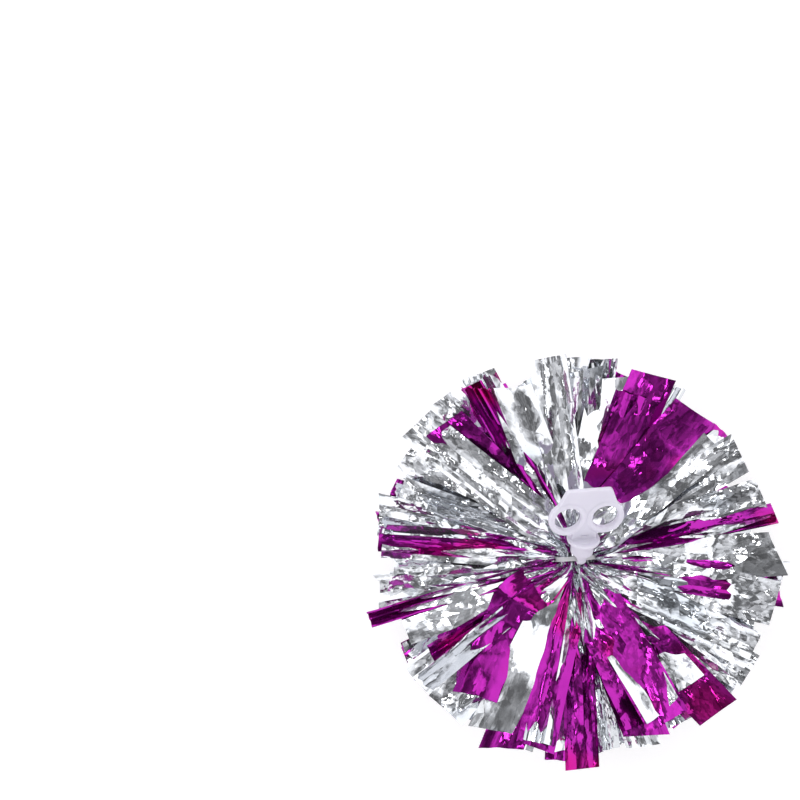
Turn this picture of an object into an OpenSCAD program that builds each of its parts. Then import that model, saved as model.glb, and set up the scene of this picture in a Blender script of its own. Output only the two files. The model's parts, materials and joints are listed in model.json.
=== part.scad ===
// Cheer pom pom: slit film sheets pinched by a cable tie that also carries a two-ring handle.
// Millimetres. +Z is the pom's axis with the handle on top, and z = 0 is the surface it stands on.
// The handle is shown as it rests: rolled over to +X with the tie and flopped towards +Y.

/* [Film] */
// Length of a strip from the tie to its square end
strip_length = 168; // [150:1:175]
// Width of a strip
strip_width = 34; // [26:1:36]
// Gap that the slitting leaves between two strips near their roots
slit_width = 0.8; // [0.5:0.1:1.5]
// Thickness of the metallised film
sheet_thickness = 0.1; // [0.08:0.01:0.15]
// Thickness of the whole band in the middle of a sheet, where the film is gathered
band_thickness = 0.2; // [0.2:0.01:0.5]

/* [Stack] */
// Height of the pinch point above the surface the pom stands on
pinch_height = 125; // [118:1:132]
// Spacing of the sheets where the tie pinches them
sheet_pitch = 0.9; // [0.85:0.01:0.92]
// Angle above the horizontal of the strips next to the handle
top_rise = 14; // [5:1:15]
// Angle below the horizontal of the strips at the front of the pom
front_drop = 82; // [70:1:84]
// Radius of the whole band in the middle of a sheet, where the slits and the bends begin
band_radius = 20; // [19:1:22]
// Smallest bend radius, that of the sheet at the front
bend_radius = 10; // [8:1:12]

/* [Cable tie] */
// Radius of the middle of the strap where it circles the stack
tie_radius = 16.6; // [16.4:0.1:17]
// Width of the strap
strap_width = 3.6; // [3:0.1:4.8]
// Thickness of the strap
strap_thickness = 1.2; // [1.1:0.1:1.4]
// Length of the ratchet head along the strap
head_length = 7; // [6:0.5:9]
// Width of the ratchet head
head_width = 6.4; // [6:0.2:8]
// Depth of the ratchet head, outwards from the stack
head_depth = 5; // [4.4:0.2:6]
// Length of the trimmed tail that stands out of the head
tail_length = 5; // [3:1:6]

/* [Handle] */
// Radius of the finger holes
finger_radius = 10.75; // [10.5:0.25:11.25]
// Distance between the centres of the finger holes
finger_spacing = 31; // [31:0.5:32]
// Height of the finger holes above the eye
finger_height = 41; // [40:0.5:42]
// Width of the raised rim round a finger hole
rim_width = 4.75; // [4.25:0.25:5]
// Thickness of a rim
rim_thickness = 6; // [5.5:0.5:7]
// Thickness of the flat plate between and above the rims
plate_thickness = 4.4; // [4:0.2:5]
// Height of the plate's top edge above the eye
handle_top = 68; // [65:1:69]
// Width of the plate at its top edge
top_width = 39; // [36:1:42]
// Radius of the round flange under the rings
flange_radius = 13.25; // [12.5:0.25:14]
// Radius of the boss where it meets the flange
boss_radius = 9.8; // [9:0.1:10.5]
// Radius of the rounded tip that holds the eye
tip_radius = 5; // [4.8:0.1:6]
// Radius of the eye that the strap runs through
eye_radius = 3; // [2.8:0.1:3.2]

/* [Resting pose] */
// Roll of the tie and handle about the stack, towards +X
rest_roll = 14; // [0:1:20]
// Flop of the handle in the strap, towards +Y, until it leans on the film
rest_flop = 54; // [30:1:54]

/* [Hidden] */
$fn = 96;

silver_color = [0.80, 0.80, 0.82];
magenta_color = [0.72, 0.05, 0.55];
plastic_color = [0.93, 0.93, 0.96];

// Layers from the handle side down to the front, by the film they are cut from
silver_layers = [0, 2, 3, 5, 6, 8, 10, 12, 14, 16, 18, 20];
magenta_layers = [1, 4, 7, 9, 11, 13, 15, 17, 19, 21];
sheet_count = len(silver_layers) + len(magenta_layers);

// Height of the lowest sheet in the pinch, and of the centre that the drooping bends share
stack_low = pinch_height - 11.2;
bend_centre = stack_low - bend_radius;

// Play left round the strap where it passes the sheets
strap_play = 0.35;
// Level part of a strip before its bend; the inner half of it lies in the band
root_overlap = 2;
// Turn between two facets of a sheet's bend
bend_step = 12;
// Flat recesses moulded in the handle
recess = [7, 1, 1.3];
flange_thickness = 2.6;
flange_low = 18;
// Lower end of the boss, above the eye, and how much narrower it is there
boss_low = 6.5;
boss_draft = 0.8;
web_width = 20;

function two_digits(n) = str(n < 10 ? "0" : "", n);
function silver_name(i) = str("silver_sheet_", two_digits(i + 1));
function magenta_name(i) = str("magenta_sheet_", two_digits(i + 1));

// Slope of a layer's strips below the horizontal: negative rises, positive droops
function slope(layer) = -top_rise + (front_drop + top_rise) * layer / (sheet_count - 1);
function layer_height(layer) = stack_low + sheet_pitch * (sheet_count - 1 - layer);
// Drooping bends are concentric, so that the layers never meet; rising ones are slight
function layer_bend(layer) = slope(layer) > 0 ? layer_height(layer) - bend_centre : band_radius;
// An even number of strips puts a slit on each side of the stack, where the strap passes
function strip_count(layer) = 14 + 2 * (layer % 3);

// One face of a strip, offset by side from its middle: level where it leaves the band,
// round the bend in short steps, then straight to its square end
function strip_face(layer, side) =
    let(
        drop = abs(slope(layer)),
        bend = layer_bend(layer),
        steps = ceil(drop / bend_step),
        radius = bend + side,
        flat_end = strip_length - band_radius - bend * drop * PI / 180
    )
    concat(
        [[band_radius - root_overlap, side]],
        [
            for (i = [0 : steps])
                [band_radius + radius * sin(drop * i / steps), radius * cos(drop * i / steps) - bend]
        ],
        [[
            band_radius + radius * sin(drop) + flat_end * cos(drop),
            radius * cos(drop) - bend - flat_end * sin(drop)
        ]]
    );

// A strip seen edge on, in the plane of radius and height
module strip_profile(layer) {
    top = strip_face(layer, sheet_thickness / 2);
    bottom = strip_face(layer, -sheet_thickness / 2);
    last = len(bottom) - 1;
    mirror([0, slope(layer) < 0 ? 1 : 0])
        polygon(concat(top, [for (i = [0 : last]) bottom[last - i]]));
}

// A strip in plan: pleated narrow at the band, full width where the circle has room for it
module strip_plan(strips) {
    half_step = 180 / strips;
    half_gap = slit_width / 2 / cos(half_step);
    half_strip = strip_width / 2;
    root = band_radius - root_overlap;
    half_root = root * tan(half_step) - half_gap;
    full = (half_strip + half_gap) / tan(half_step);
    polygon([
        [root, -half_root],
        [full, -half_strip],
        [strip_length, -half_strip],
        [strip_length, half_strip],
        [full, half_strip],
        [root, half_root]
    ]);
}

module strip(layer) {
    intersection() {
        translate([0, 0, layer_height(layer)]) rotate([90, 0, 0])
            linear_extrude(2 * strip_width, center = true) strip_profile(layer);
        linear_extrude(2 * strip_length) strip_plan(strip_count(layer));
    }
}

// Room for the strap, a ring round the stack that it can slide along
module strap_room() {
    translate([0, 0, pinch_height]) rotate([90, 0, 0]) {
        difference() {
            cylinder(
                r = tie_radius + strap_thickness / 2 + strap_play,
                h = strap_width + 2 * strap_play,
                center = true
            );
            cylinder(
                r = tie_radius - strap_thickness / 2 - strap_play,
                h = 2 * strap_width,
                center = true
            );
        }
    }
}

module film_sheet(layer) {
    strips = strip_count(layer);
    difference() {
        union() {
            translate([0, 0, layer_height(layer)])
                cylinder(r = band_radius - root_overlap / 2, h = band_thickness, center = true);
            for (i = [0 : strips - 1])
                rotate((i + 0.5) * 360 / strips) strip(layer);
        }
        strap_room();
        // the slits that let the strap in from the side
        for (side = [0, 180])
            rotate(side) translate([tie_radius, -slit_width / 4, 0])
                cube([2 * root_overlap, slit_width / 2, 2 * strip_length]);
    }
}

module silver_sheet(i) {
    color(silver_color) film_sheet(silver_layers[i]);
}

module magenta_sheet(i) {
    color(magenta_color) film_sheet(magenta_layers[i]);
}

// Frame of the tie, with its centre at the pinch
module on_tie() {
    translate([0, 0, pinch_height]) rotate([0, rest_roll, 0]) children();
}

// Frame of the handle, with its centre in the eye and the strap along X
module on_handle() {
    on_tie() translate([0, 0, tie_radius]) rotate([-rest_flop, 0, 0]) children();
}

module cable_tie() {
    inner = tie_radius - strap_thickness / 2;
    color(plastic_color) on_tie() {
        rotate([90, 0, 0]) rotate_extrude()
            translate([inner, -strap_width / 2]) square([strap_thickness, strap_width]);
        difference() {
            translate([-head_length / 2, -head_width / 2, -inner - head_depth])
                cube([head_length, head_width, head_depth]);
            rotate([90, 0, 0]) cylinder(r = inner, h = 2 * head_width, center = true);
        }
        // trimmed tail, pointing away from the stack
        translate([head_length / 2 - 1, -strap_width / 2, -inner - head_depth + 1])
            rotate([0, 15, 0]) cube([tail_length, strap_width, strap_thickness]);
    }
}

// Section of a rim: rounded outside, with a straight land along the finger hole
module rim_section() {
    corner = 1.4;
    half = rim_thickness / 2;
    translate([finger_radius + corner, -half]) square([rim_width - 2 * corner, rim_thickness]);
    translate([finger_radius, corner - half]) square([rim_width, rim_thickness - 2 * corner]);
    for (x = [corner, rim_width - corner], y = [corner - half, half - corner])
        translate([finger_radius + x, y]) circle(corner);
}

// Outline of the plate: top edge, slanting sides out to the rings, and the web down to the flange
module plate_outline() {
    ring = finger_radius + rim_width / 2;
    corner = 3;
    hull() {
        for (side = [-1, 1]) {
            translate([side * (top_width / 2 - corner), handle_top - corner]) circle(corner);
            translate([side * finger_spacing / 2, finger_height]) circle(ring);
        }
    }
    translate([-web_width / 2, flange_low + flange_thickness / 2])
        square([web_width, finger_height - flange_low]);
}

module handle() {
    color(plastic_color) on_handle() difference() {
        union() {
            rotate([90, 0, 0]) difference() {
                translate([0, 0, -plate_thickness / 2])
                    linear_extrude(plate_thickness) plate_outline();
                // below the ring centres only the web joins the rings
                for (side = [-1, 1]) mirror([side < 0 ? 1 : 0, 0, 0])
                    translate([web_width / 2, 0, -plate_thickness])
                        cube([finger_spacing, finger_height - finger_radius, 2 * plate_thickness]);
            }
            for (side = [-1, 1])
                translate([side * finger_spacing / 2, 0, finger_height])
                    rotate([90, 0, 0]) rotate_extrude() rim_section();
            translate([0, 0, flange_low]) cylinder(r = flange_radius, h = flange_thickness);
            translate([0, 0, boss_low]) cylinder(
                r1 = boss_radius - boss_draft,
                r2 = boss_radius,
                h = flange_low + flange_thickness / 2 - boss_low
            );
            cylinder(r1 = tip_radius, r2 = tip_radius + boss_draft, h = boss_low + 1);
            sphere(tip_radius);
        }
        for (side = [-1, 1])
            translate([side * finger_spacing / 2, 0, finger_height]) rotate([90, 0, 0])
                cylinder(r = finger_radius, h = 3 * rim_thickness, center = true);
        rotate([0, 90, 0]) cylinder(r = eye_radius, h = 4 * tip_radius, center = true);
        // two moulded recesses: one low on the web, one on top of the flange
        translate([-recess.x / 2, -plate_thickness / 2 - 1, flange_low + flange_thickness + 2.4])
            cube([recess.x, recess.y + 1, recess.z]);
        translate([-recess.x / 2, -9, flange_low + flange_thickness - 1])
            cube([recess.x, recess.z, 2]);
    }
}

for (i = [0 : len(silver_layers) - 1])
    silver_sheet(i);
for (i = [0 : len(magenta_layers) - 1])
    magenta_sheet(i);
cable_tie();
handle();
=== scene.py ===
import json
import math

import bpy
import numpy as np
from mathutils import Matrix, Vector


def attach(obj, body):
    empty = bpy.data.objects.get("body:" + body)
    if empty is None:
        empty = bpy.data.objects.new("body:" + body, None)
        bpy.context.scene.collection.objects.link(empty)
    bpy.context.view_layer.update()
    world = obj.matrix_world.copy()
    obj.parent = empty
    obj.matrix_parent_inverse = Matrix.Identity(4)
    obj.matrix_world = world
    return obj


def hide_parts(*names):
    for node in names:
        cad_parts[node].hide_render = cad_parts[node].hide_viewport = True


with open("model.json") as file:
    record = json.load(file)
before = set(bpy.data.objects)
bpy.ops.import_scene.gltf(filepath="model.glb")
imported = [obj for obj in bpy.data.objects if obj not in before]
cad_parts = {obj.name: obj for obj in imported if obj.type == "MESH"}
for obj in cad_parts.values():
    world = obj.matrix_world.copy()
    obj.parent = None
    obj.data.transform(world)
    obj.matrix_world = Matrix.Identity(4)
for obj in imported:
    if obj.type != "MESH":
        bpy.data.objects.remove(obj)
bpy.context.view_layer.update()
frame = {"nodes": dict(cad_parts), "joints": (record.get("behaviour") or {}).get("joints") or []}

# Strips, in metres unless a comment says otherwise
STRIP_LENGTH = 0.166
STRIP_WIDTH = 0.034
LONGEST_STRIP = 0.172
SHORTER, LONGER = -0.022, 0.003  # how much a strip differs from STRIP_LENGTH
CELLS_ACROSS, CELLS_ALONG = 12, 64  # quads of a strip's mesh
WAIST_RADIUS = 0.0125  # half height of the pinched stack inside the tie
WAIST_WIDTH, WAIST_DEPTH = 0.8, 0.7  # shares of it that the strips start within, across and up
PLEATED_SHARE = 0.34  # width of a gathered strip at the pinch, as a share of its own width
PLEAT_HEIGHT = 0.006  # the tallest fold of a gathered strip
FOLD_COUNTS = [3, 4, 6]
RIPPLE = 0.0012  # height of the waves along a strip
FULLY_OPEN = 0.97  # strips opened more than this open out sooner
CREASES = ((0.021, 1.9), (0.0095, 0.7))  # facet sizes, and their shares of the depth
CREASE_STRETCH = 1.3  # facets are this much longer than wide
LATTICE_ORIGIN = 64  # keeps the lattice coordinates positive
STEEPEST = math.radians(24)  # no strip climbs more than this
LOW_ROOT = (0.018, 0.05)  # strips start to climb between these, clear of the handle
LEAVING = (0.001, 0.011)  # strips turn from the pinch onto their own course between these
STEEP_DROP = -0.6  # strips that drop more than this, in radians, turn later
TURN_LATER = 0.007  # which leaves room for the head of the tie
COURSE_CHANGE = (0.3, 0.48)  # where a turned strip changes course, as shares of its length
BEND_REACH = 0.03  # half length of a bend, as a share of the strip
FLOOR_GAP = 0.0012  # strips stay this far above the floor
LANDING = 0.022  # strips level out over this height above the floor
BACK_WOBBLE = math.radians(6)  # spread of twist in the strips listed one by one
LOOSE_WOBBLE = math.radians(14)  # spread of twist in all others
ALONG_TIE = 0.42  # sine of the azimuth below which a strip comes out beside the strap
BESIDE_STRAP = (0.0135, 0.0038, 0.0035)  # where it comes out, from the pinch
OVER_STRAP = (0.8, 0.14, 0.5)  # and which way it leaves
LEAST_SHEEN_BREAK = 0.2  # how strongly the mirror look of the flattest strip is broken up
SHEEN_BREAK_RATE = 650  # and how much more per metre of crumple depth
FACET_LAYERS = ((70, 0.2), (165, 0.14), (400, 0.08))  # facets per metre, and their tilts

# Camera and light
CAMERA_DISTANCE = 4.0  # straight above the pinch
CAMERA_ROLL = 4.0  # degrees, the photographed pom is turned this far anticlockwise
FRAME_WIDTH = 0.64  # of what the picture shows at the height of the pinch
POM_RIGHT, POM_DOWN = 0.1400, 0.1264  # from the middle of the picture to the pinch
PANEL_SCALE = 3.6  # how finely the light above is broken up
PANEL_SHIFT = (3.1, 1.7, 0.4)
# brightness of the light above at levels of its noise
PANEL_LEVELS = ((0.36, 0.12), (0.45, 0.28), (0.54, 0.6), (0.63, 1.0), (0.72, 1.7))
DARK_SIDE = (0.28, -0.48, 0.83)  # the room is darker in this direction

joints = {joint["name"]: joint for joint in frame["joints"]}
PINCH = np.array(joints["tie_roll"]["pos_m"], float)

# Order of the sheets in the pinched stack, counted from the handle down
SILVER_LAYERS = [0, 2, 3, 5, 6, 8, 10, 12, 14, 16, 18, 20]
MAGENTA_LAYERS = [1, 4, 7, 9, 11, 13, 15, 17, 19, 21]
LAYER_COUNT = len(SILVER_LAYERS) + len(MAGENTA_LAYERS)
FEWEST_STRIPS = 14  # of a sheet, counted at both ends
TOP_RISE, BOTTOM_RISE = 18, -82  # degrees, of the first and the last layer

# The strips that lie uppermost on the handle side, as they were fluffed out by hand:
# azimuth from +X, reach from the pinch in mm, width in mm, width left open at the end as a
# share, rise in degrees, crumple depth in mm
SILVER_BACK = [
    (94, 160, 33, 0.90, 10, 0.8),
    (74, 147, 35, 1.00, 6, 0.4),
    (36, 144, 36, 1.00, 9, 0.5),
    (-1, 160, 36, 1.00, 11, 0.8),
    (-17, 161, 36, 1.00, 7, 0.8),
    (-29, 161, 35, 0.90, 8, 1.6),
    (-41, 164, 34, 0.80, 5, 1.6),
    (-60, 155, 35, 0.95, 2, 1.2),
    (-84, 152, 31, 0.60, 8, 1.0),
    (-122, 152, 34, 1.00, 15, 0.12),
    (-163, 145, 36, 1.00, 9, 0.3),
    (-180, 144, 36, 1.00, 8, 1.3),
    (156, 148, 36, 1.00, 9, 1.5),
    (138, 167, 35, 0.95, 13, 1.2),
]
SILVER_BACK_LOWER = [
    (125, 166, 34, 1.00, 7, 1.5),
    (114, 167, 34, 0.85, 9, 1.2),
    (104, 138, 35, 0.90, 5, 1.4),
    (83, 148, 34, 0.90, 3, 1.0),
    (27, 157, 35, 0.95, 5, 1.2),
    (14, 155, 35, 0.95, 5, 1.4),
    (-10, 162, 35, 0.95, 3, 1.0),
    (-36, 166, 35, 0.95, 2, 1.6),
    (-52, 160, 36, 1.00, -4, 1.0),
    (-74, 160, 34, 0.80, -2, 1.2),
    (-98, 154, 34, 0.80, 3, 1.3),
    (-112, 159, 36, 0.95, -4, 1.0),
    (-135, 160, 36, 1.00, 1, 1.2),
    (-147, 163, 35, 0.95, 1, 1.2),
    (-173, 158, 34, 0.90, 2, 1.2),
    (171, 153, 34, 0.80, 7, 1.3),
    (163, 159, 35, 0.95, 5, 1.5),
    (146, 160, 36, 1.00, 7, 1.6),
]
MAGENTA_BACK = [
    (63, 160, 36, 1.00, 18, 0.35),
    (46, 153, 36, 1.00, 17, 0.6),
    (8, 161, 28, 0.60, 9, 0.7),
    (-12, 163, 33, 0.90, 9, 0.6),
    (-50, 167, 36, 1.00, 13, 0.7),
    (-64, 152, 36, 1.00, 18, 0.7),
    (-72, 152, 35, 1.00, 16, 0.8),
    (-92, 166, 34, 0.80, 9, 0.9),
    (-107, 153, 35, 0.90, 15, 0.8),
    (-130, 145, 36, 1.00, 21, 0.4),
    (-152, 140, 31, 0.60, 9, 0.8),
    (-168, 170, 29, 0.45, 8, 1.0),
    (172, 157, 30, 0.50, 10, 1.2),
    (165, 159, 30, 0.50, 8, 1.2),
    (118, 161, 33, 0.60, 10, 1.2),
    (139, 161, 30, 0.50, 5, 1.2),
]
# Strips that buckle up and turn aside near their root: the hump, the course before the
# turn and the course after it, in degrees
TURNED = {("magenta_sheet_01", -130): (13, -26, 13)}
BACK_STRIPS = {
    "silver_sheet_01": SILVER_BACK,
    "silver_sheet_02": SILVER_BACK_LOWER,
    "magenta_sheet_01": MAGENTA_BACK,
}


# ---------------------------------------------------------------- shape helpers

def smooth(low, high, x):
    """0 below low, 1 above high, and a smooth rise between."""
    t = np.clip((x - low) / (high - low), 0, 1)
    return t * t * (3 - 2 * t)


def unit(v):
    """Vector v scaled to length 1."""
    return v / np.linalg.norm(v)


def turn(v, axis, angle):
    """Vector v turned about a unit axis, angle in radians."""
    return v * math.cos(angle) + np.cross(axis, v) * math.sin(angle) \
        + axis * (axis @ v) * (1 - math.cos(angle))


def facets(a, b, heights):
    """Height at lattice coordinates a, b of a surface of flat triangles."""
    rows, cols = heights.shape
    i, j = np.floor(a).astype(int), np.floor(b).astype(int)
    f, g = a - i, b - j
    h00 = heights[i % rows, j % cols]
    h10 = heights[(i + 1) % rows, j % cols]
    h01 = heights[i % rows, (j + 1) % cols]
    h11 = heights[(i + 1) % rows, (j + 1) % cols]
    lower = h00 + f * (h10 - h00) + g * (h01 - h00)
    upper = h11 + (1 - f) * (h01 - h11) + (1 - g) * (h10 - h11)
    return np.where(f + g < 1, lower, upper)


def crumple(x, s, rng, depth):
    """Creased heights over a strip: large sharp facets, and finer ones across them."""
    total = np.zeros_like(x)
    for cell, share in CREASES:
        angle = rng.uniform(0, math.pi)
        # the lattice is bent a little, so that the creases don't run in straight rows
        wave = 0.35 * np.sin(x / cell * 1.7 + rng.uniform(0, 6)) + 0.35 * np.sin(s / cell * 1.3)
        a = (x * math.cos(angle) + s * math.sin(angle) / CREASE_STRETCH) / cell
        b = (s * math.cos(angle) / CREASE_STRETCH - x * math.sin(angle)) / cell
        a = a + wave + LATTICE_ORIGIN
        b = b - wave + LATTICE_ORIGIN
        total += share * facets(a, b, rng.uniform(-1, 1, (31, 29)))
    return total * depth


def strip_route(azimuth, rise, sag, length, start, leave, bends, courses):
    """Points and tangents of a strip's middle line, from the pinch out to its end."""
    ds = length / CELLS_ALONG
    point = np.array(start, float)
    points, tangents = [], []
    for k in range(CELLS_ALONG + 1):
        s = k * ds
        out = s / length
        tilt = rise + sum(
            size * float(smooth(at - BEND_REACH, at + BEND_REACH, out)) for at, size in bends)
        tilt = min(tilt, STEEPEST) - sag * out * out
        if tilt > 0:
            tilt *= float(smooth(*LOW_ROOT, s))
        changed = float(smooth(*COURSE_CHANGE, out))
        course = azimuth + courses[0] + (courses[1] - courses[0]) * changed
        aim = np.array([
            math.cos(course) * math.cos(tilt),
            math.sin(course) * math.cos(tilt),
            math.sin(tilt),
        ])
        late = TURN_LATER if rise < STEEP_DROP else 0.0
        mix = float(smooth(LEAVING[0] + late / 2, LEAVING[1] + late, s))
        tangent = unit((1 - mix) * leave + mix * aim)
        room = max(point[2] + tangent[2] * ds - FLOOR_GAP, 0)
        drop = -room / LANDING
        if tangent[2] < drop:
            flat = unit(np.array([tangent[0] + 1e-6, tangent[1], 0]))
            tangent = unit(flat * math.sqrt(max(1 - drop ** 2, 0.01))
                           + np.array([0, 0, max(drop, -0.99)]))
        points.append(point.copy())
        tangents.append(tangent)
        point = point + tangent * ds
    return np.array(points), np.array(tangents)


def strip_mesh(azimuth, rise, sag, length, width, opened, depth, twist, turned,
               start, leave, rng):
    """Vertices of one strip as rows of points across it, pleated at the pinch."""
    # three bends at random, then the hump of a turned strip: up, over and back to its rise
    bends = [(rng.uniform(0.35, 0.9), rng.normal(0, 0.8 * twist)) for _ in range(3)]
    hump = turned[0]
    bends += [(0.26, hump), (0.4, -2 * hump), (0.54, hump)]
    points, tangents = strip_route(azimuth, rise, sag, length, start, leave, bends, turned[1:])
    # the width direction is level at the free end and carried back to the pinch
    width_dir = unit(np.cross([0, 0, 1], tangents[-1]))
    frames = [width_dir]
    for k in range(len(points) - 2, -1, -1):
        w = frames[-1] - tangents[k] * (frames[-1] @ tangents[k])
        frames.append(unit(w))
    frames = frames[::-1]
    end_twist, mid_twist = rng.normal(0, twist, 2)
    folds = int(rng.choice(FOLD_COUNTS))
    curl = rng.normal(0, 0.9)
    u = np.linspace(-1, 1, CELLS_ACROSS + 1)
    s = np.linspace(0, length, CELLS_ALONG + 1)
    out = s / length
    open_by = rng.uniform(0.03, 0.045) if opened > FULLY_OPEN else rng.uniform(0.05, 0.08)
    share = PLEATED_SHARE + (opened - PLEATED_SHARE) * smooth(0.002, open_by, s)
    skew = 0.18 * np.sin(2.2 * u + rng.uniform(0, 6))
    zigzag = np.abs(((u + skew + 1) / 2 * folds + rng.integers(0, 2)) % 2 - 1)
    across_grid, along_grid = np.meshgrid(u * width / 2, s)
    relief = crumple(across_grid, along_grid, rng, depth)
    relief *= (0.25 + 0.75 * smooth(0.01, 0.06, s))[:, None]
    pleat = np.minimum(width / folds * np.sqrt(1 - share ** 2), PLEAT_HEIGHT)
    height = pleat[:, None] * (zigzag[None, :] - 0.5) + relief
    bow = curl * width * 0.12 * smooth(0.3, 1.0, out)
    height += bow[:, None] * (u ** 2)[None, :]
    ripple = RIPPLE * np.sin(s * rng.uniform(40, 90) + rng.uniform(0, 6)) * smooth(0.02, 0.06, s)
    rows = []
    for k in range(len(s)):
        angle = end_twist * out[k] ** 2 + mid_twist * math.sin(math.pi * out[k])
        w = turn(frames[k], tangents[k], angle)
        n = np.cross(tangents[k], w)
        n = -n if n[2] < 0 else n
        across = share[k] * width / 2 * u
        rows.append(points[k] + np.outer(across, w) + np.outer(height[k] + ripple[k], n))
    grid = np.array(rows)
    # the end is cut square, but never quite true
    skewed = rng.normal(0, 0.003) * u
    for row, amount in ((-1, 1.0), (-2, 0.6), (-3, 0.3)):
        grid[row] += np.outer(amount * skewed, tangents[-1])
    grid[..., 2] = np.maximum(grid[..., 2], FLOOR_GAP)
    return grid


# ---------------------------------------------------------------- materials

def new_material(name):
    """A node material with its node tree and its Principled shader."""
    mat = bpy.data.materials.new(name)
    mat.use_nodes = True
    return mat, mat.node_tree, mat.node_tree.nodes["Principled BSDF"]


def set_inputs(tree, node, inputs):
    """Gives each named input of a node its value, or links it to the output given for it."""
    for socket, value in inputs.items():
        if isinstance(value, bpy.types.NodeSocket):
            tree.links.new(value, node.inputs[socket])
        else:
            node.inputs[socket].default_value = value


def add_node(tree, kind, inputs, operation=None):
    """A new shader node with its operation, where it has one, and its inputs."""
    node = tree.nodes.new("ShaderNode" + kind)
    if operation:
        node.operation = operation
    if kind == "Mix":
        node.data_type = "RGBA"
    set_inputs(tree, node, inputs)
    return node


def film_material(name, color, tint, painted_reflection):
    """Metallised film: a mirror broken into small creased facets that run along the strip, with
    broad patches of painted reflection in the tone of film mirrored in other film.
    """
    mat, tree, shader = new_material(name)
    place = tree.nodes.new("ShaderNodeUVMap")
    place.uv_map = "film"
    on_strip = place.outputs["UV"]
    crumpled = tree.nodes.new("ShaderNodeAttribute")
    crumpled.attribute_name = "crumpled"
    patches = add_node(tree, "TexNoise", {"Vector": on_strip, "Scale": 60, "Detail": 2})
    dulled = add_node(tree, "MapRange", {
        "Value": patches.outputs["Fac"],
        "From Min": 0.35, "From Max": 0.7, "To Min": 0.05, "To Max": 0.14})
    shade = add_node(tree, "Mix", {
        "Factor": patches.outputs["Fac"], "A": (*color, 1), "B": (*tint, 1)})
    # a few broad patches of painted reflection, the tone film takes on where it mirrors other film
    reflection_noise = add_node(tree, "TexNoise", {"Vector": on_strip, "Scale": 14})
    where = add_node(tree, "MapRange", {
        "Value": reflection_noise.outputs["Fac"], "From Min": 0.56, "From Max": 0.66, "To Max": 0.7})
    mixed = add_node(tree, "Mix", {
        "Factor": where.outputs["Result"], "A": shade.outputs["Result"], "B": (*painted_reflection, 1)})
    # warped lattice of facets, longer along the strip than across it
    warp = add_node(tree, "TexNoise", {"Vector": on_strip, "Scale": 70})
    moved = add_node(tree, "VectorMath", {
        0: warp.outputs["Color"], 1: (0.0015, 0.0015, 0), 2: on_strip}, "MULTIPLY_ADD")
    stretched = add_node(tree, "VectorMath", {
        0: moved.outputs["Vector"], 1: (1.0, 0.62, 1.0)}, "MULTIPLY")
    normal = tree.nodes.new("ShaderNodeNewGeometry").outputs["Normal"]
    for scale, tilt in FACET_LAYERS:
        cells = add_node(tree, "TexVoronoi", {
            "Vector": stretched.outputs["Vector"], "Scale": scale})
        centred = add_node(tree, "VectorMath", {
            0: cells.outputs["Color"], 1: (0.5, 0.5, 0.5)}, "SUBTRACT")
        amount = add_node(tree, "Math", {0: crumpled.outputs["Fac"], 1: tilt}, "MULTIPLY")
        scaled = add_node(tree, "VectorMath", {
            0: centred.outputs["Vector"], "Scale": amount.outputs["Value"]}, "SCALE")
        tilted = add_node(tree, "VectorMath", {0: normal, 1: scaled.outputs["Vector"]}, "ADD")
        normal = tilted.outputs["Vector"]
    straight = add_node(tree, "VectorMath", {0: normal}, "NORMALIZE")
    # long soft streaks over the facets
    drawn_out = add_node(tree, "VectorMath", {
        0: moved.outputs["Vector"], 1: (1.0, 0.14, 1.0)}, "MULTIPLY")
    streaks = add_node(tree, "TexNoise", {
        "Vector": drawn_out.outputs["Vector"], "Scale": 210, "Detail": 1})
    bump = add_node(tree, "Bump", {
        "Height": streaks.outputs["Fac"], "Normal": straight.outputs["Vector"],
        "Strength": 0.22, "Distance": 0.0006})
    set_inputs(tree, shader, {
        "Base Color": mixed.outputs["Result"], "Metallic": 0.94,
        "Roughness": dulled.outputs["Result"], "Normal": bump.outputs["Normal"]})
    return mat


def plastic_material(name, color, glow):
    """Milky moulded plastic with a faint grain."""
    mat, tree, shader = new_material(name)
    on_part = tree.nodes.new("ShaderNodeTexCoord").outputs["Object"]
    grain = add_node(tree, "TexNoise", {"Vector": on_part, "Scale": 700, "Detail": 4})
    cloud = add_node(tree, "TexNoise", {"Vector": on_part, "Scale": 60})
    shade = add_node(tree, "Mix", {
        "Factor": cloud.outputs["Fac"], "A": (*color, 1), "B": (*[c * 0.93 for c in color], 1)})
    gloss = add_node(tree, "MapRange", {
        "Value": cloud.outputs["Fac"], "To Min": 0.3, "To Max": 0.5})
    bump = add_node(tree, "Bump", {
        "Height": grain.outputs["Fac"], "Strength": 0.12, "Distance": 0.0003})
    set_inputs(tree, shader, {
        "Base Color": shade.outputs["Result"], "Roughness": gloss.outputs["Result"],
        "Normal": bump.outputs["Normal"], "IOR": 1.5, "Subsurface Weight": glow,
        "Subsurface Radius": (1.0, 0.95, 1.0), "Subsurface Scale": 0.005})
    return mat


# the third colour of each film is painted reflection: slate grey on the silver, crimson on the
# magenta, as film mirrored in other film
SILVER_FILM = film_material(
    "silver_film", (0.68, 0.69, 0.72), (0.58, 0.60, 0.63), (0.47, 0.51, 0.57))
MAGENTA_FILM = film_material(
    "magenta_film", (0.38, 0.020, 0.33), (0.26, 0.010, 0.24), (0.44, 0.005, 0.16))
WHITE_PLASTIC = plastic_material("white_plastic", (0.67, 0.65, 0.74), 0.5)
TIE_NYLON = plastic_material("tie_nylon", (0.5, 0.5, 0.52), 0.2)


# ---------------------------------------------------------------- film sheets

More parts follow.
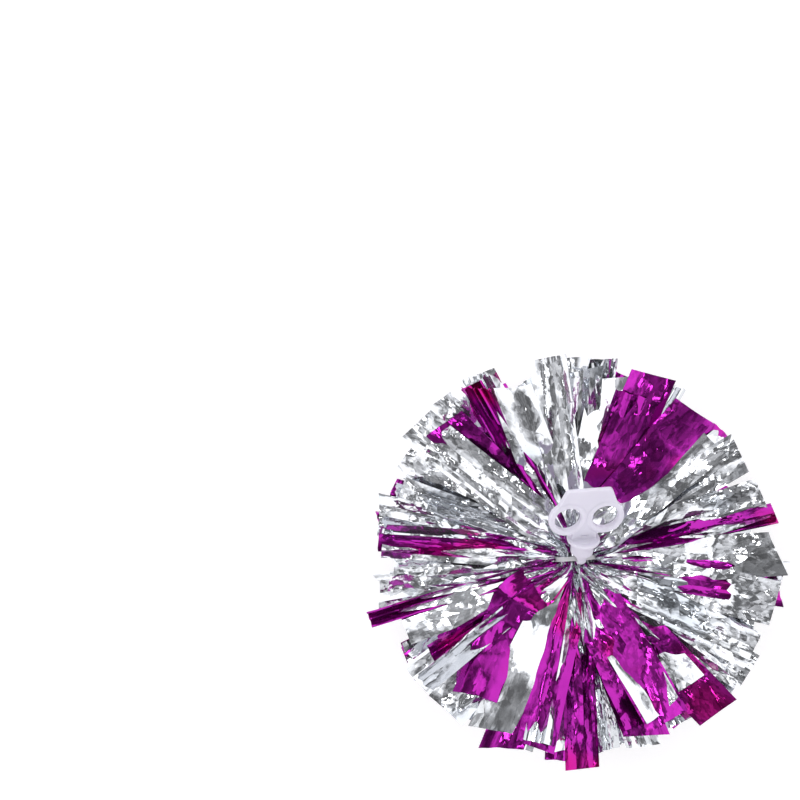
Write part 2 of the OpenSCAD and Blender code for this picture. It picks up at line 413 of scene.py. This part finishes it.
def sheet_strips(name, layer, rng):
    """Placings of a sheet's strips: azimuth, rise, sag, length, width, share left open, crumple
    depth, spread of twist, and hump and courses as in TURNED."""
    if name in BACK_STRIPS:
        return [
            (math.radians(a), math.radians(rise), math.radians(rng.uniform(4, 16)),
             min(reach / 1000 + 0.003, LONGEST_STRIP),
             wide / 1000, opened, depth / 1000, BACK_WOBBLE,
             np.radians(TURNED.get((name, a), (0, 0, 0))))
            for a, reach, wide, opened, rise, depth in BACK_STRIPS[name]
        ]
    count = FEWEST_STRIPS + 2 * (layer % 3)
    sheet_rise = TOP_RISE + (BOTTOM_RISE - TOP_RISE) * layer / (LAYER_COUNT - 1)
    first = rng.uniform(0, 360 / count)
    return [
        (math.radians(first + 360 * i / count + rng.normal(0, 6)),
         math.radians(sheet_rise + rng.normal(0, 6)), math.radians(rng.uniform(0, 18)),
         STRIP_LENGTH + rng.uniform(SHORTER, LONGER), STRIP_WIDTH + rng.uniform(-0.002, 0.002),
         rng.choice([1.0, 0.98, 0.9, 0.75, 0.55]), rng.uniform(0.3, 1.5) / 1000,
         LOOSE_WOBBLE, (0, 0, 0))
        for i in range(count)
    ]


def film_sheet(name, layer, body):
    """One sheet as a mesh of its separate strips, which ride the foil body."""
    rng = np.random.default_rng(1000 + layer)
    level = WAIST_RADIUS - 2 * WAIST_RADIUS * layer / (LAYER_COUNT - 1)
    half_room = math.sqrt(max(WAIST_RADIUS ** 2 - level ** 2, 0.002 ** 2))
    verts, faces, flat_places, crumpled = [], [], [], []
    placings = sheet_strips(name, layer, rng)
    for azimuth, rise, sag, length, width, opened, depth, twist, turned in placings:
        side = 1 if math.sin(azimuth) >= 0 else -1
        across_tie = 1 if math.cos(azimuth) >= 0 else -1
        if name in BACK_STRIPS and abs(math.sin(azimuth)) < ALONG_TIE:
            # out of the loop beside the strap, then over the strap
            mirrored = np.array([across_tie, side, 1])
            start = PINCH + mirrored * BESIDE_STRAP
            leave = unit(mirrored * OVER_STRAP)
        else:
            start = PINCH + np.array([
                half_room * WAIST_WIDTH * math.cos(azimuth) + rng.normal(0, 0.001),
                0,
                level * WAIST_DEPTH + rng.normal(0, 0.0006),
            ])
            leave = np.array([0.0, side, 0.0])
        length -= abs(start[0] - PINCH[0])
        grid = strip_mesh(azimuth, rise, sag, length, width, opened, depth, twist, turned,
                          start, leave, rng)
        base, across = len(verts), CELLS_ACROSS + 1
        corner = rng.uniform(0, 4, 2)
        flat_places += [
            (corner[0] + width * c / CELLS_ACROSS, corner[1] + length * r / CELLS_ALONG)
            for r in range(CELLS_ALONG + 1) for c in range(across)
        ]
        broken_up = LEAST_SHEEN_BREAK + SHEEN_BREAK_RATE * depth
        crumpled += [broken_up] * (across * (CELLS_ALONG + 1))
        verts += grid.reshape(-1, 3).tolist()
        faces += [
            (base + r * across + c, base + r * across + c + 1,
             base + (r + 1) * across + c + 1, base + (r + 1) * across + c)
            for r in range(CELLS_ALONG) for c in range(CELLS_ACROSS)
        ]
    mesh = bpy.data.meshes.new(name + "_film")
    mesh.from_pydata(verts, [], faces)
    mesh.update()
    mesh.shade_smooth()
    mesh.set_sharp_from_angle(angle=math.radians(26))
    corners = np.empty(len(mesh.loops), np.int32)
    mesh.loops.foreach_get("vertex_index", corners)
    mesh.uv_layers.new(name="film").data.foreach_set("uv", np.array(flat_places)[corners].ravel())
    mesh.attributes.new("crumpled", "FLOAT", "POINT").data.foreach_set("value", crumpled)
    obj = bpy.data.objects.new(name + "_film", mesh)
    bpy.context.collection.objects.link(obj)
    obj.data.materials.append(SILVER_FILM if body == "silver_film" else MAGENTA_FILM)
    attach(obj, "foil")
    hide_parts(name)
    return obj


for number, layer in enumerate(SILVER_LAYERS, 1):
    film_sheet(f"silver_sheet_{number:02d}", layer, "silver_film")
for number, layer in enumerate(MAGENTA_LAYERS, 1):
    film_sheet(f"magenta_sheet_{number:02d}", layer, "magenta_film")


# ---------------------------------------------------------------- handle and tie

def moulded_copy(node, name, voxel, rounds):
    """The node's own shape with the soft edges and fillets of a moulding."""
    source = frame["nodes"][node]
    obj = bpy.data.objects.new(name, source.data.copy())
    bpy.context.collection.objects.link(obj)
    remesh = obj.modifiers.new("voxels", "REMESH")
    remesh.mode = "VOXEL"
    remesh.voxel_size = voxel
    soften = obj.modifiers.new("soften", "SMOOTH")
    soften.factor = 0.5
    soften.iterations = rounds
    evaluated = obj.evaluated_get(bpy.context.evaluated_depsgraph_get())
    mesh = bpy.data.meshes.new_from_object(evaluated)
    obj.modifiers.clear()
    obj.data = mesh
    mesh.shade_smooth()
    mesh.materials.clear()
    return obj


handle = moulded_copy("handle", "moulded_handle", 0.00045, 6)
handle.data.materials.append(WHITE_PLASTIC)
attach(handle, "handle")
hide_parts("handle")

tie = moulded_copy("cable_tie", "nylon_tie", 0.0003, 3)
tie.data.materials.append(TIE_NYLON)
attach(tie, "tie")
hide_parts("cable_tie")


# ---------------------------------------------------------------- floor, light, camera

def floor():
    """A pale floor that glows a little, so that it stays white around the film."""
    mat, tree, shader = new_material("pale_floor")
    set_inputs(tree, shader, {
        "Base Color": (0.93, 0.93, 0.93, 1), "Roughness": 0.9,
        "Emission Color": (1, 1, 1, 1), "Emission Strength": 0.3})
    mesh = bpy.data.meshes.new("floor")
    half = 6.0
    mesh.from_pydata([(-half, -half, 0), (half, -half, 0), (half, half, 0), (-half, half, 0)],
                     [], [(0, 1, 2, 3)])
    obj = bpy.data.objects.new("floor", mesh)
    bpy.context.collection.objects.link(obj)
    mesh.materials.append(mat)


def softbox(name, azimuth, elevation, distance, size, power):
    """An area light aimed at the pinch, placed by its bearing and height in degrees."""
    light = bpy.data.lights.new(name, "AREA")
    light.shape = "RECTANGLE"
    light.size, light.size_y = size
    light.energy = power
    obj = bpy.data.objects.new(name, light)
    bpy.context.collection.objects.link(obj)
    a, e = math.radians(azimuth), math.radians(elevation)
    out = Vector((math.cos(a) * math.cos(e), math.sin(a) * math.cos(e), math.sin(e)))
    obj.location = Vector(PINCH) + out * distance
    obj.rotation_mode = "QUATERNION"
    obj.rotation_quaternion = out.to_track_quat("Z", "Y")


def studio():
    """A room for the film to mirror: dark patches and soft panels above, bright low walls."""
    world = bpy.data.worlds.new("studio")
    bpy.context.scene.world = world
    world.use_nodes = True
    tree = world.node_tree
    bearing = tree.nodes.new("ShaderNodeTexCoord").outputs["Generated"]
    shifted = add_node(tree, "VectorMath", {0: bearing, 1: PANEL_SHIFT}, "ADD")
    panels = add_node(tree, "TexNoise", {
        "Vector": shifted.outputs["Vector"],
        "Scale": PANEL_SCALE, "Detail": 1.5, "Distortion": 0.6})
    levels = add_node(tree, "ValToRGB", {"Fac": panels.outputs["Fac"]})
    while len(levels.color_ramp.elements) < len(PANEL_LEVELS):
        levels.color_ramp.elements.new(0.5)
    for element, (position, value) in zip(levels.color_ramp.elements, PANEL_LEVELS):
        element.position = position
        element.color = (value, value, value * 1.02, 1)
    toward = add_node(tree, "VectorMath", {0: bearing, 1: DARK_SIDE}, "DOT_PRODUCT")
    shaded = add_node(tree, "MapRange", {
        "Value": toward.outputs["Value"],
        "From Min": 0.82, "From Max": 0.98, "To Min": 1.0, "To Max": 0.45})
    shaded.interpolation_type = "SMOOTHSTEP"
    dimmed = add_node(tree, "VectorMath", {
        0: levels.outputs["Color"], "Scale": shaded.outputs["Result"]}, "SCALE")
    height = add_node(tree, "SeparateXYZ", {"Vector": bearing}).outputs["Z"]
    low = add_node(tree, "MapRange", {"Value": height, "From Min": 0.72, "From Max": 0.45})
    low.interpolation_type = "SMOOTHSTEP"
    walls = add_node(tree, "Mix", {
        "Factor": low.outputs["Result"], "A": dimmed.outputs["Vector"], "B": (1.8, 1.8, 1.82, 1)})
    set_inputs(tree, tree.nodes["Background"], {"Color": walls.outputs["Result"], "Strength": 1.0})
    softbox("key_light", 48, 61, 2.2, (1.3, 0.7), 4.3)
    softbox("side_light", 185, 64, 2.2, (1.0, 0.6), 2.4)
    softbox("strip_light_front", -62, 72, 2.2, (0.07, 0.5), 1.0)
    softbox("strip_light_back", 112, 66, 2.2, (0.14, 0.55), 2.2)
    softbox("strip_light_left", 226, 66, 2.2, (0.1, 0.45), 1.3)


def camera():
    """The photograph's view: straight down onto the handle side."""
    roll = math.radians(CAMERA_ROLL)
    right = Vector((math.cos(roll), -math.sin(roll), 0))
    up = Vector((math.sin(roll), math.cos(roll), 0))
    data = bpy.data.cameras.new("camera")
    data.sensor_width = 36
    data.lens = 36 * CAMERA_DISTANCE / FRAME_WIDTH
    obj = bpy.data.objects.new("camera", data)
    bpy.context.collection.objects.link(obj)
    middle = Vector(PINCH) - right * POM_RIGHT + up * POM_DOWN
    obj.location = middle + Vector((0, 0, CAMERA_DISTANCE))
    obj.rotation_euler = (0, 0, -roll)
    data.clip_end = 50
    bpy.context.scene.camera = obj


floor()
studio()
camera()
bpy.context.scene.view_settings.view_transform = "Standard"
